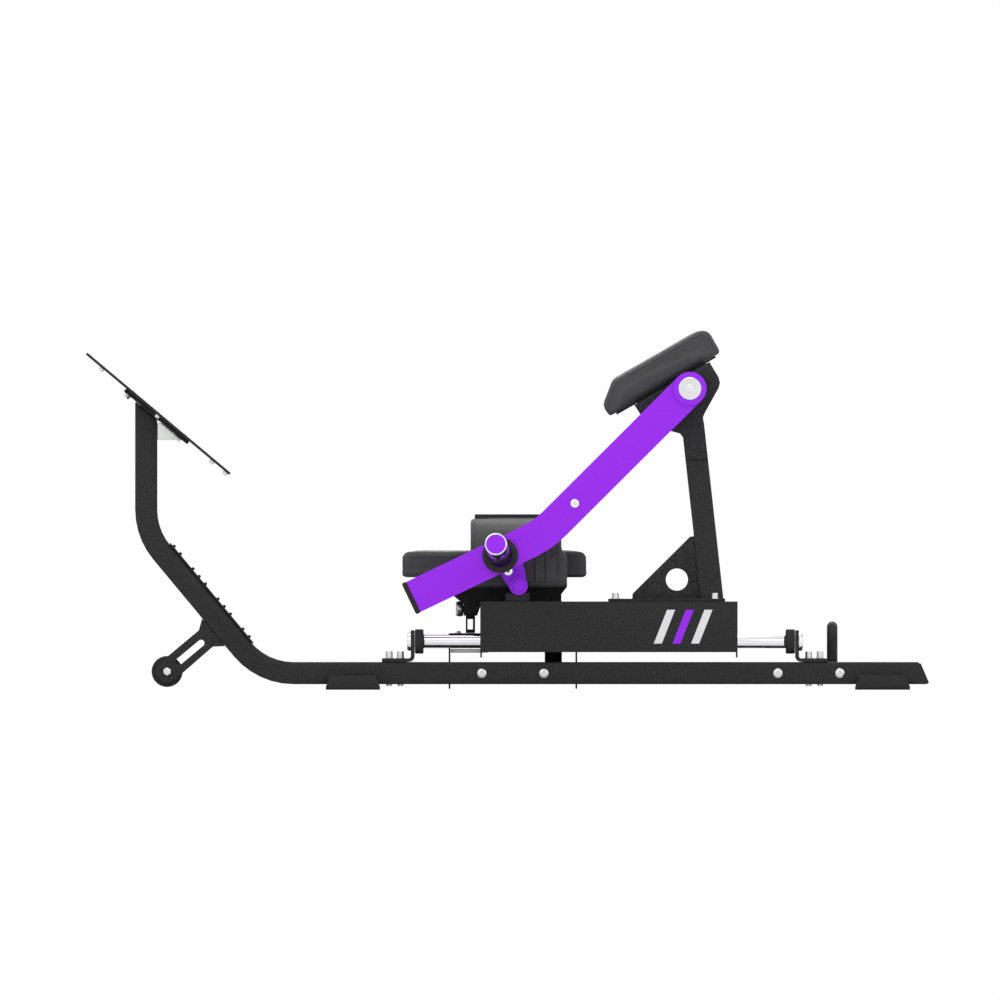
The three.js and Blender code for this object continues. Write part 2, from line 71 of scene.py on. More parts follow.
ARM_END = Vector((-0.2108, 0, 0.2089))
PAD_TILT = math.radians(30)
PLATE_THICK = 0.006
PLATE_TILT = math.radians(40)
PLATE_TOP_Z = 0.759
PLATE_NORMAL = Vector((math.sin(PLATE_TILT), 0, math.cos(PLATE_TILT)))
SLANT = math.atan2(BEND_HIGH.z - RAIL_Z, BEND_HIGH.x - BEND_LOW_X)
SLANT_NORMAL = Vector((math.sin(SLANT), 0, -math.cos(SLANT)))


# ---- materials ----------------------------------------------------------------------------
def shader(name, color, metallic, roughness):
    mat = bpy.data.materials.new(name)
    mat.use_nodes = True
    bsdf = mat.node_tree.nodes["Principled BSDF"]
    bsdf.inputs["Base Color"].default_value = (*color, 1)
    bsdf.inputs["Metallic"].default_value = metallic
    bsdf.inputs["Roughness"].default_value = roughness
    return mat, mat.node_tree, bsdf


def coords(tree, stretch=(1, 1, 1), turn=0.0):
    """Object coordinates, stretched and turned about Y, which is across the machine."""
    texture = tree.nodes.new("ShaderNodeTexCoord")
    mapping = tree.nodes.new("ShaderNodeMapping")
    mapping.inputs["Scale"].default_value = stretch
    mapping.inputs["Rotation"].default_value = (0, turn, 0)
    tree.links.new(texture.outputs["Object"], mapping.inputs["Vector"])
    return mapping.outputs["Vector"]


def noise(tree, vector, scale, detail=3.0):
    node = tree.nodes.new("ShaderNodeTexNoise")
    node.inputs["Scale"].default_value = scale
    node.inputs["Detail"].default_value = detail
    tree.links.new(vector, node.inputs["Vector"])
    return node.outputs["Fac"]


def ramp(tree, source, stops):
    node = tree.nodes.new("ShaderNodeValToRGB")
    elements = node.color_ramp.elements
    while len(elements) < len(stops):
        elements.new(0.5)
    for element, (place, color) in zip(elements, stops):
        element.position = place
        element.color = (*color, 1) if isinstance(color, tuple) else (color, color, color, 1)
    tree.links.new(source, node.inputs["Fac"])
    return node.outputs["Color"]


def bump(tree, bsdf, source, strength, distance):
    node = tree.nodes.new("ShaderNodeBump")
    node.inputs["Strength"].default_value = strength
    node.inputs["Distance"].default_value = distance
    tree.links.new(source, node.inputs["Height"])
    tree.links.new(node.outputs["Normal"], bsdf.inputs["Normal"])


def shade_of(color, factor):
    return tuple(min(1.0, c * factor) for c in color)


def powder_coat(name, color, speckle, grain_scale, roughness):
    """Sprayed and baked paint: fine speckle, orange peel and faint handling marks."""
    mat, tree, bsdf = shader(name, color, 0.0, roughness)
    space = coords(tree)
    fine = noise(tree, space, grain_scale, 2.0)
    tone = ramp(tree, fine, [(0.36, shade_of(color, 1 - speckle)), (0.5, color),
                             (0.68, shade_of(color, 1 + speckle))])
    tree.links.new(tone, bsdf.inputs["Base Color"])
    marks = noise(tree, coords(tree, (9, 9, 30)), 3.0, 6.0)
    gloss = ramp(tree, marks, [(0.35, roughness - 0.06), (0.7, roughness + 0.1)])
    tree.links.new(gloss, bsdf.inputs["Roughness"])
    bsdf.inputs["Specular IOR Level"].default_value = 0.16
    bump(tree, bsdf, fine, 0.25, 0.0004)
    return mat


def metal(name, color, roughness, streak):
    """Plated or polished metal with fine drawing marks."""
    mat, tree, bsdf = shader(name, color, 1.0, roughness)
    lines = noise(tree, coords(tree, streak), 40.0, 4.0)
    gloss = ramp(tree, lines, [(0.3, roughness * 0.9), (0.7, roughness * 1.2)])
    tree.links.new(gloss, bsdf.inputs["Roughness"])
    cloud = noise(tree, coords(tree), 25.0, 3.0)
    tone = ramp(tree, cloud, [(0.3, shade_of(color, 0.95)), (0.7, color)])
    tree.links.new(tone, bsdf.inputs["Base Color"])
    bump(tree, bsdf, lines, 0.005, 0.00002)
    return mat


def vinyl(name, color, grain, stretch, roughness):
    """Upholstery vinyl: pebbled grain, with painted shade that makes its valleys slightly darker and a
    painted highlight on the pebbles.
    """
    mat, tree, bsdf = shader(name, color, 0.0, roughness)
    space = coords(tree, stretch, 0.7)
    cells = tree.nodes.new("ShaderNodeTexVoronoi")
    cells.inputs["Scale"].default_value = grain
    tree.links.new(space, cells.inputs["Vector"])
    depth = cells.outputs["Distance"]
    # Painted shade and painted highlight: the grain's valleys are coloured darker and the pebbles' middles
    # lighter.
    tone = ramp(tree, depth, [(0.1, shade_of(color, 1.25)), (0.75, shade_of(color, 0.7))])
    soft = noise(tree, coords(tree), 14.0, 3.0)
    gloss = ramp(tree, soft, [(0.3, roughness - 0.08), (0.7, roughness + 0.08)])
    tree.links.new(tone, bsdf.inputs["Base Color"])
    tree.links.new(gloss, bsdf.inputs["Roughness"])
    bsdf.inputs["Sheen Weight"].default_value = 0.15
    bump(tree, bsdf, depth, 0.45, 0.0009)
    return mat


def rubber(name, color):
    """Matt moulded rubber, also used for thread."""
    mat, tree, bsdf = shader(name, color, 0.0, 0.8)
    fine = noise(tree, coords(tree), 260.0, 5.0)
    tone = ramp(tree, fine, [(0.3, shade_of(color, 0.75)), (0.7, shade_of(color, 1.3))])
    tree.links.new(tone, bsdf.inputs["Base Color"])
    bsdf.inputs["Specular IOR Level"].default_value = 0.3
    bump(tree, bsdf, fine, 0.3, 0.0005)
    return mat


def webbing(name, color):
    """Woven nylon strap: crossing ribs along and across the strap."""
    mat, tree, bsdf = shader(name, color, 0.0, 0.75)
    ribs = []
    for direction in ("X", "Y"):
        wave = tree.nodes.new("ShaderNodeTexWave")
        wave.bands_direction = direction
        wave.inputs["Scale"].default_value = 130.0
        tree.links.new(coords(tree), wave.inputs["Vector"])
        ribs.append(wave.outputs["Fac"])
    cross = tree.nodes.new("ShaderNodeMath")
    cross.operation = "MULTIPLY"
    tree.links.new(ribs[0], cross.inputs[0])
    tree.links.new(ribs[1], cross.inputs[1])
    tone = ramp(tree, cross.outputs[0], [(0.0, shade_of(color, 0.6)), (0.8, shade_of(color, 1.5))])
    tree.links.new(tone, bsdf.inputs["Base Color"])
    bump(tree, bsdf, cross.outputs[0], 0.6, 0.0008)
    return mat


FINISH = {
    "powder_coat": powder_coat("powder_coat", (0.0175, 0.0175, 0.018), 0.6, 340.0, 0.55),
    "purple_coat": powder_coat("purple_coat", (0.25, 0.017, 0.66), 0.08, 420.0, 0.36),
    "chrome": metal("chrome", (0.78, 0.78, 0.8), 0.13, (1, 30, 30)),
    "zinc": metal("zinc", (0.66, 0.67, 0.66), 0.34, (30, 1, 1)),
    "pad_vinyl": vinyl("pad_vinyl", (0.024, 0.024, 0.026), 520.0, (1, 1, 1), 0.5),
    "seat_vinyl": vinyl("seat_vinyl", (0.016, 0.016, 0.017), 420.0, (1, 1, 2.2), 0.55),
    "rubber": rubber("rubber", (0.012, 0.012, 0.012)),
    "webbing": webbing("webbing", (0.014, 0.014, 0.015)),
    "thread": rubber("thread", (0.12, 0.12, 0.125)),
    "stripe_light": powder_coat("stripe_light", (0.6, 0.6, 0.62), 0.08, 700.0, 0.45),
}


# ---- carried-over CAD nodes ---------------------------------------------------------------
WELD = 1e-5
PLAIN_EDGE = 1.2
# Edge radius in millimetres by the start of the node's name.
EDGE = {
    "side_rail": 5, "lever_arm": 5, "upright": 2.5, "carriage_side": 3, "foot_plate": 1.6, "foot_front": 4,
    "foot_rear": 4, "transport_wheel": 2, "rod_bumper": 3, "arm_rest": 2.5, "plate_collar": 2.5,
    "seat_base": 1.6, "seat_guide": 2, "seat_pin": 5, "guide_rod": 1, "weight_sleeve": 1.5,
}


def edge_radius(node):
    for prefix, radius in EDGE.items():
        if node.startswith(prefix):
            return radius * MM
    return PLAIN_EDGE * MM


def smooth(obj, angle=35):
    obj.data.shade_smooth()
    obj.data.set_sharp_from_angle(angle=math.radians(angle))


def finish_node(node, slot):
    """Own material, merged flat faces and rounded edges on a CAD node."""
    obj = NODES[node]
    obj.data.materials.clear()
    obj.data.materials.append(FINISH[slot])
    smooth(obj)
    weld = obj.modifiers.new("weld", "WELD")
    weld.merge_threshold = WELD
    flat = obj.modifiers.new("flat", "DECIMATE")
    flat.decimate_type = "DISSOLVE"
    flat.angle_limit = math.radians(1)
    edge = obj.modifiers.new("edge", "BEVEL")
    edge.width = edge_radius(node)
    edge.segments = 3
    edge.limit_method = "ANGLE"
    edge.angle_limit = math.radians(40)
    edge.harden_normals = True


# ---- mesh building ------------------------------------------------------------------------
class Kit:
    """Collects small repeated shapes into one mesh piece."""

    def __init__(self):
        self.verts = []
        self.faces = []

    def add(self, shape, matrix):
        verts, faces = shape
        start = len(self.verts)
        self.verts.extend(matrix @ Vector(v) for v in verts)
        flip = matrix.determinant() < 0
        for face in faces:
            moved = [start + i for i in face]
            self.faces.append(moved[::-1] if flip else moved)

    def build(self, name, finish, body, angle=35):
        mesh = bpy.data.meshes.new(name)
        mesh.from_pydata(self.verts, [], self.faces)
        mesh.validate()
        obj = bpy.data.objects.new(name, mesh)
        bpy.context.scene.collection.objects.link(obj)
        mesh.materials.append(FINISH[finish])
        smooth(obj, angle)
        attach(obj, body)
        return obj


def turned(profile, segments=24, hexed=()):
    """Shape turned about +Z from (radius, height) steps; the steps listed in hexed are six-sided."""
    verts, faces = [], []
    for step, (radius, height) in enumerate(profile):
        for k in range(segments):
            angle = 2 * math.pi * k / segments
            reach = radius
            if step in hexed:
                off = (angle + math.pi / 6) % (math.pi / 3) - math.pi / 6
                reach = radius * math.cos(math.pi / 6) / math.cos(off)
            verts.append((reach * math.cos(angle), reach * math.sin(angle), height))
    for step in range(len(profile) - 1):
        for k in range(segments):
            a = step * segments + k
            b = step * segments + (k + 1) % segments
            faces.append((a, b, b + segments, a + segments))
    last = (len(profile) - 1) * segments
    faces.append(tuple(range(segments))[::-1])
    faces.append(tuple(range(last, last + segments)))
    return verts, faces


def scaled(profile):
    return [(r * MM, z * MM) for r, z in profile]


def button_head(radius, height):
    """Domed bolt head with a hexagon socket."""
    steps = [(radius, 0), (radius, height * 0.35), (radius * 0.86, height * 0.75), (radius * 0.6, height),
             (radius * 0.45, height), (radius * 0.43, height * 0.35), (radius * 0.05, height * 0.3)]
    return turned(scaled(steps), 24, hexed=(4, 5))


def hex_head(radius, height):
    """Washer under a chamfered six-sided head."""
    steps = [(radius * 1.3, 0), (radius * 1.3, height * 0.16), (radius, height * 0.16),
             (radius, height * 0.88), (radius * 0.86, height), (radius * 0.1, height)]
    return turned(scaled(steps), 24, hexed=(2, 3))


def socket_head(radius, height):
    """Tall round bolt head with a hexagon socket, on a thin washer."""
    steps = [(radius * 1.25, 0), (radius * 1.25, 1.4), (radius, 1.4), (radius, height - 0.8),
             (radius - 0.8, height), (radius * 0.52, height), (radius * 0.5, height * 0.5),
             (radius * 0.05, height * 0.48)]
    return turned(scaled(steps), 24, hexed=(5, 6))


def cap_disc(radius, height, lip):
    """Flat disc with a chamfered rim."""
    steps = [(radius, 0), (radius, height - lip), (radius - lip, height), (radius * 0.1, height)]
    return turned(scaled(steps), 32)


def end_washer():
    """Thick domed washer that closes a rod end, with a socket in the middle."""
    steps = [(21, 0), (21, 5.5), (19.6, 7.6), (17, 8.5), (6.5, 8.5), (6.3, 4), (0.5, 3.8)]
    return turned(scaled(steps), 36, hexed=(4, 5))


def facing(point, axis):
    """Matrix that stands +Z of a shape along axis at a point."""
    turn = Vector((0, 0, 1)).rotation_difference(Vector(axis))
    return Matrix.Translation(Vector(point)) @ turn.to_matrix().to_4x4()


def strip(length, width, thick=0.0012, radius=0.0003):
    """Thin flat gasket."""
    return soft_block((length, width, thick), radius, 1)


def soft_block(size, radius, steps=3):
    """Box with rounded edges, centred on the origin."""
    bm = bmesh.new()
    bmesh.ops.create_cube(bm, size=1.0)
    bmesh.ops.scale(bm, vec=size, verts=bm.verts)
    bmesh.ops.bevel(bm, geom=bm.edges[:], offset=radius, segments=steps, affect="EDGES", profile=0.5)
    verts = [tuple(v.co) for v in bm.verts]
    faces = [tuple(v.index for v in f.verts) for f in bm.faces]
    bm.free()
    return verts, faces


def tube(points, radius, closed, sides=8):
    """Round tube through points, such as piping or a cord of thread."""
    count = len(points)
    verts, faces = [], []
    for i, point in enumerate(points):
        ahead = points[(i + 1) % count] if closed else points[min(i + 1, count - 1)]
        back = points[i - 1] if closed else points[max(i - 1, 0)]
        along = (ahead - back).normalized()
        across = along.cross(Vector((0.31, 0.83, 0.47))).normalized()
        up = along.cross(across)
        for k in range(sides):
            turn = 2 * math.pi * k / sides
            verts.append(tuple(point + radius * (math.cos(turn) * across + math.sin(turn) * up)))
    spans = count if closed else count - 1
    for i in range(spans):
        for k in range(sides):
            a = i * sides + k
            b = i * sides + (k + 1) % sides
            c = ((i + 1) % count) * sides
            faces.append((a, b, c + (k + 1) % sides, c + k))
    if not closed:
        faces.append(tuple(range(sides))[::-1])
        faces.append(tuple(range((count - 1) * sides, count * sides)))
    return verts, faces


def on_plate(along, depth, y):
    """Point under the foot plate's front face."""
    start = Vector((-RAIL_END_X + PLATE_THICK * math.sin(PLATE_TILT), 0, PLATE_TOP_Z))
    run = Vector((math.cos(PLATE_TILT), 0, -math.sin(PLATE_TILT)))
    return start + run * along + PLATE_NORMAL * -depth + Vector((0, y, 0))


def on_slant(along, above, y):
    """Point above the slanted stretch of the rails."""
    start = Vector((BEND_LOW_X, 0, RAIL_Z))
    run = Vector((math.cos(SLANT), 0, math.sin(SLANT)))
    return start + run * along + SLANT_NORMAL * above + Vector((0, y, 0))


# ---- upholstery ---------------------------------------------------------------------------
CLOTH_STEPS = 20
FOAM_GIVE = 0.0006                    # how far the foam lets its cover sink
FOAM_GRID = 0.006
CORD_STEP = 0.01
STITCH = Vector((0.0045, 0.0013, 0.0012))
STITCH_STEP = 0.0085
STITCH_SINK = 0.0003


def applied(obj):
    """Replaces the object's mesh with its evaluated shape and drops the modifiers."""
    graph = bpy.context.evaluated_depsgraph_get()
    mesh = bpy.data.meshes.new_from_object(obj.evaluated_get(graph))
    obj.modifiers.clear()
    obj.data = mesh


def swell(obj, cap, held):
    """Cloth pressure on the foam cover. Movement is capped, and the foam stops it going inwards.

    The held vertices are pinned, because they lie on something hard.
    """
    start = [(v.co.copy(), v.normal.copy()) for v in obj.data.vertices]
    pins = obj.vertex_groups.new(name="pins")
    pins.add([v.index for v in obj.data.vertices if held(v.co)], 1.0, "REPLACE")
    cloth = obj.modifiers.new("cloth", "CLOTH")
    settings = cloth.settings
    settings.quality = 5
    settings.use_pressure = True
    settings.uniform_pressure_force = 4.0
    settings.tension_stiffness = 12
    settings.compression_stiffness = 12
    settings.shear_stiffness = 4
    settings.bending_stiffness = 0.4
    settings.vertex_group_mass = "pins"
    settings.effector_weights.gravity = 0.0
    cloth.collision_settings.use_self_collision = False
    for step in range(1, CLOTH_STEPS + 1):
        bpy.context.scene.frame_set(step)
    applied(obj)
    for vertex, (origin, normal) in zip(obj.data.vertices, start):
        moved = vertex.co - origin
        inward = min(0.0, moved.dot(normal) + FOAM_GIVE)
        moved -= normal * inward
        if moved.length > cap:
            moved = moved.normalized() * cap
        vertex.co = origin + moved
    bpy.context.scene.frame_set(1)


def fill_box(obj, node):
    """Stretches a finished cover to the box of its CAD solid, which smoothing had shrunk."""
    low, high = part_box(node)
    for axis in range(3):
        places = [v.co[axis] for v in obj.data.vertices]
        least = min(places)
        stretch = (high[axis] - low[axis]) / (max(places) - least)
        for vertex in obj.data.vertices:
            vertex.co[axis] = low[axis] + (vertex.co[axis] - least) * stretch


def foam_pad(node, name, body, finish, cap, shrink, held, up=Vector((0, 0, 1))):
    """Cushion made from its CAD solid: remeshed, shrunk, swelled, subdivided and fitted to its box.

    The held face keeps its height along up, because it lies on something hard.
    """
    obj = bpy.data.objects.new(name, NODES[node].data.copy())
    bpy.context.scene.collection.objects.link(obj)
    obj.data.materials.clear()
    obj.data.materials.append(FINISH[finish])
    weld = obj.modifiers.new("weld", "WELD")
    weld.merge_threshold = WELD
    remesh = obj.modifiers.new("remesh", "REMESH")
    remesh.mode = "VOXEL"
    remesh.voxel_size = FOAM_GRID
    applied(obj)
    normals = [v.normal.copy() for v in obj.data.vertices]
    for vertex, normal in zip(obj.data.vertices, normals):
        inset = normal * -shrink
        if held(vertex.co):
            inset -= up * inset.dot(up)
        vertex.co += inset
    loose = obj.vertex_groups.new(name="loose")
    loose.add([v.index for v in obj.data.vertices if not held(v.co)], 1.0, "REPLACE")
    soften = obj.modifiers.new("soften", "SMOOTH")
    soften.iterations = 2
    soften.vertex_group = "loose"
    applied(obj)
    swell(obj, cap, held)
    dense = obj.modifiers.new("dense", "SUBSURF")
    dense.levels = 1
    dense.render_levels = 1
    applied(obj)
    fill_box(obj, node)
    obj.data.shade_smooth()
    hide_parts(node)
    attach(obj, body)
    return obj


def surface_of(obj):
    """Search tree over a finished cover, to lay seams on it."""
    verts = [v.co.copy() for v in obj.data.vertices]
    faces = [tuple(p.vertices) for p in obj.data.polygons]
    return BVHTree.FromPolygons(verts, faces)


def between(corners, step, closed=True):
    """Even points along a line of corners."""
    points = []
    ends = corners[1:] + corners[:1] if closed else corners[1:]
    for start, end in zip(corners, ends):
        count = max(2, round((end - start).length / step))
        points.extend(start.lerp(end, k / count) for k in range(count))
    if not closed:
        points.append(corners[-1])
    return points


def seam(kit, surface, corners, radius, closed=True):
    """Piping cord laid on a cover along a line of corners."""
    points = []
    for point in between(corners, CORD_STEP, closed):
        spot, normal, _, _ = surface.find_nearest(point)
        points.append(spot + normal * radius * 0.2)
    relaxed = points
    for _ in range(3):
        last = len(relaxed) - 1
        relaxed = [
            p if not closed and i in (0, last)
            else (relaxed[i - 1] + p * 2 + relaxed[(i + 1) % len(relaxed)]) / 4
            for i, p in enumerate(relaxed)
        ]
    kit.add(tube(relaxed, radius, closed), Matrix.Identity(4))


def stitches(kit, surface, corners, closed=True):
    """Row of short thread stitches on a cover."""
    grain = soft_block(STITCH, 0.0005, 2)
    points = between(corners, STITCH_STEP, closed)
    for here, ahead in zip(points, points[1:]):
        spot, normal, _, _ = surface.find_nearest(here)
        along = (ahead - here).normalized()
        across = normal.cross(along).normalized()
        turn = Matrix((along, across, normal)).transposed().to_4x4()
        kit.add(grain, Matrix.Translation(spot - normal * STITCH_SINK) @ turn)


def loop(place, u0, u1, v0, v1, radius=0.03):
    """Corners of a rectangle with cut corners, from a function of two lengths."""
    return [
        place(u0 + radius, v0), place(u1 - radius, v0), place(u1, v0 + radius), place(u1, v1 - radius),
        place(u1 - radius, v1), place(u0 + radius, v1), place(u0, v1 - radius), place(u0, v0 + radius),
    ]


def make_seat():
    """Seat cushion with a piped rim and a stitched outline and middle seam."""
    low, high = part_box("seat_cushion")
    seat = foam_pad("seat_cushion", "seat_pad", "seat", "seat_vinyl", 0.003, 0.0005,
                    lambda co: co.z < low.z + 0.004)
    surface = surface_of(seat)
    piping = Kit()
    middle = (low + high) / 2
    out = 0.01
    rim = loop(lambda x, y: Vector((x, y, high.z - 0.012)), low.x - out, high.x + out, low.y - out,
               high.y + out)
    seam(piping, surface, rim, 0.0014)
    piping.build("seat_piping", "seat_vinyl", "seat")
    thread = Kit()
    top = high.z + 0.02
    inset = 0.028
    outline = loop(lambda x, y: Vector((x, y, top)), low.x + inset, high.x - inset, low.y + inset,
                   high.y - inset)
    stitches(thread, surface, outline)
    across = [Vector((middle.x, low.y + inset, top)), Vector((middle.x, high.y - inset, top))]
    stitches(thread, surface, across, closed=False)
    thread.build("seat_stitches", "thread", "seat")


def on_pad(along, away, y):
    """Point in the back pad's tilted frame, whose origin is the pivot."""
    run = Vector((math.cos(PAD_TILT), 0, math.sin(PAD_TILT)))
    normal = Vector((-math.sin(PAD_TILT), 0, math.cos(PAD_TILT)))
    return PIVOT + run * along + normal * away + Vector((0, y, 0))


def make_back_pad():
    """Back pad with a piped outline on each side and a stitched line on top."""
    normal = on_pad(0, 1, 0) - PIVOT
    pad = foam_pad("back_pad", "back_cushion", "carriage", "pad_vinyl", 0.003, 0.0005,
                   lambda co: (co - PIVOT).dot(normal) < 0.039, normal)
    surface = surface_of(pad)
    piping = Kit()
    corners = ((-0.186, 0.045), (-0.186, 0.064), (-0.141, 0.1), (0.082, 0.1), (0.098, 0.085),
               (0.098, 0.045))
    for side in (-1, 1):
        outline = [on_pad(along, away, side * 0.23) for along, away in corners]
        seam(piping, surface, outline, 0.0016, closed=False)
    piping.build("back_pad_piping", "pad_vinyl", "carriage")
    thread = Kit()
    for side in (-1, 1):
        edge = [on_pad(-0.13, 0.13, side * 0.2), on_pad(0.075, 0.13, side * 0.2)]
        stitches(thread, surface, edge, closed=False)
    thread.build("back_pad_stitches", "thread", "carriage")


def make_belt():
    """Hip belt with a webbing strap over its crown and piping on its sides."""
    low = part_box("hip_belt")[0]
    belt = foam_pad("hip_belt", "belt_pad", "lever", "seat_vinyl", 0.002, 0.0015,
                    lambda co: co.z < low.z + 0.006)
    surface = surface_of(belt)
    strap = Kit()
    width = 0.19
    thick = 0.011
    centre_x = 0.022
    half = 0.12
    count = 32
    path = []
    for step in range(count + 1):
        y = -half + 2 * half * step / count
        hit, normal, _, _ = surface.ray_cast(Vector((centre_x, y, 0.6)), Vector((0, 0, -1)))
        path.append(hit + normal * 0.0025)
    for here, ahead in zip(path, path[1:]):
        along = (ahead - here).normalized()
        turn = Matrix((Vector((1, 0, 0)), along, Vector((1, 0, 0)).cross(along))).transposed().to_4x4()
        piece = soft_block((width, (ahead - here).length * 1.08, thick), 0.0012, 1)
        strap.add(piece, Matrix.Translation((here + ahead) / 2) @ turn)
    strap.build("belt_webbing", "webbing", "lever")
    piping = Kit()
    for side in (-1, 1):
        y = side * 0.23
        for x in (-0.079, 0.118):
            line = [Vector((x, y, low.z + 0.012)), Vector((x, y, 0.3)), Vector((x, y * 0.96, 0.345)),
                    Vector((x, y * 0.7, 0.4))]
            seam(piping, surface, line, 0.0026, closed=False)
        for x in (0.066, 0.09):
            line = [Vector((x, y, low.z + 0.01)), Vector((x, y, 0.345))]
            seam(piping, surface, line, 0.005, closed=False)
        flap = [Vector((-0.085, y, low.z + 0.012)), Vector((0.129, y, low.z + 0.012))]
        seam(piping, surface, flap, 0.0026, closed=False)
    piping.build("belt_piping", "seat_vinyl", "lever")


# ---- fasteners and trim -------------------------------------------------------------------
def base_fasteners():
    """Bolts of the frame and foot plate, the rods' end washers and a strip inside the seat base."""
    buttons = Kit()
    hexes = Kit()
    for side in SIDES:
        outer = side * (SIDE_Y + RAIL_HALF)
        for x in (-0.0567, 0.0828, 0.6093, 0.7488):
            buttons.add(button_head(11, 5), facing((x, outer, 0.0374), (0, side, 0)))
        for x in (-0.2653, -0.2399, 0.6786, 0.7043):
            hexes.add(socket_head(7.7, 16), facing((x, side * SIDE_Y, 0.0708), (0, 0, 1)))
            hexes.add(hex_head(6, 4), facing((x, side * SIDE_Y, RAIL_Z - RAIL_HALF), (0, 0, -1)))
        for along in (0.132, 0.281):
            for y in (0.06, 0.18):
                buttons.add(button_head(9, 1.5), facing(on_plate(along, 0, side * y), PLATE_NORMAL))
                hexes.add(hex_head(7.5, 8), facing(on_plate(along, 0.0143, side * y), -PLATE_NORMAL))
        for along in (0.049, 0.213, 0.373, 0.412):
            spot = on_plate(along, PLATE_THICK, side * 0.27)
            buttons.add(button_head(6, 7), facing(spot, -PLATE_NORMAL))
        hexes.add(hex_head(6, 5), facing((-0.11, side * 0.06, TRAY_TOP_Z), (0, 0, 1)))
    hexes.add(soft_block((0.084, 0.2, 0.0085), 0.001, 1), Matrix.Translation((-0.085, 0, 0.0877)))
    buttons.build("base_button_heads", "zinc", "base")
    hexes.build("base_hex_heads", "zinc", "base")
    washers = Kit()
    for side in SIDES:
        for x, way in ROD_ENDS:
            washers.add(end_washer(), facing((x, side * SIDE_Y, ROD_Z), (way, 0, 0)))
    washers.build("rod_end_washers", "chrome", "base")


def tread_studs():
    """Staggered rows of raised pills that stop a shoe slipping."""
    dome = turned(scaled([(3.8, 0), (3.7, 2), (3.1, 3.8), (1.8, 4.8), (0.3, 5.1)]), 12)
    studs = Kit()
    pitch = 0.022
    stretch = Matrix.Diagonal((1, 2.6, 1, 1))
    turn = Matrix.Rotation(-SLANT + math.pi, 4, "Y")
    for row in range(13):
        if row % 4 == 2:
            continue
        shift = pitch if row % 2 else 0.0
        for column in range(-5, 6):
            y = column * 2 * pitch + shift
            if abs(y) > 0.226:
                continue
            spot = on_slant(0.082 + row * pitch, 0.0290, y)
            studs.add(dome, Matrix.Translation(spot) @ turn @ stretch)
    studs.build("tread_studs", "powder_coat", "base")


def end_plugs():
    """Moulded plugs in the open tube ends."""
    plugs = Kit()
    plug = soft_block((0.0025, 0.044, 0.048), 0.0011, 2)
    for side in SIDES:
        spot = Matrix.Translation((0.93875, side * SIDE_Y, RAIL_Z))
        plugs.add(plug, spot @ Matrix.Rotation(-RAIL_END_SLOPE, 4, "Y"))
    plugs.build("rail_end_plugs", "rubber", "base")
    caps = Kit()
    cap = soft_block((0.012, 0.042, 0.077), 0.004, 3)
    run = (ARM_END - ARM_CORNER).normalized()
    lean = math.atan2(-run.z, -run.x)
    for side in SIDES:
        spot = ARM_END + run * 0.0055 + Vector((0, side * ARM_MIDDLE_Y, 0))
        caps.add(cap, Matrix.Translation(spot) @ Matrix.Rotation(-lean, 4, "Y"))
    caps.build("arm_end_caps", "rubber", "lever")


def carriage_fasteners():
    """Bolts through the uprights' feet and the round buttons on the uprights."""
    hexes = Kit()
    discs = Kit()
    for side in SIDES:
        for x in (0.2439, 0.4671):
            for y in (0.1745, 0.2455):
                hexes.add(socket_head(7.3, 13), facing((x, side * y, 0.205), (0, 0, 1)))
        discs.add(cap_disc(19, 2, 0.8), facing((0.4556, side * 0.235, 0.2657), (0, side, 0)))
    hexes.build("upright_hex_heads", "zinc", "carriage")
    discs.build("carriage_buttons", "powder_coat", "carriage")


def lever_fasteners():
    """Pivot caps, bolts, lug pegs and the discs that close the sleeves."""
    chrome = Kit()
    pegs = Kit()
    purple = Kit()
    for side in SIDES:
        chrome.add(cap_disc(25.5, 2.4, 0.9), facing((PIVOT.x, side * 0.3, PIVOT.z), (0, side, 0)))
        chrome.add(button_head(8.5, 4), facing((PIVOT.x, side * 0.3023, PIVOT.z), (0, side, 0)))
        chrome.add(button_head(10, 4), facing((0.0025, side * 0.254, 0.267), (0, side, 0)))
        chrome.add(button_head(11, 6), facing((0.1523, side * ARM_OUTER_Y, 0.4192), (0, side, 0)))
        pegs.add(cap_disc(14, 6, 1.5), facing((0.0257, side * 0.246, 0.2338), (0, side, 0)))
        run = Vector((-0.0099, side * 0.2622, 0.0252)).normalized()
        tip = Vector((-0.0254, side * 0.555, 0.3278))
        purple.add(cap_disc(22, 1.6, 0.7), facing(tip - run * 0.0002, run))
    chrome.build("lever_caps", "chrome", "lever")
    pegs.build("lug_pegs", "purple_coat", "lever")
    purple.build("sleeve_end_caps", "purple_coat", "lever")


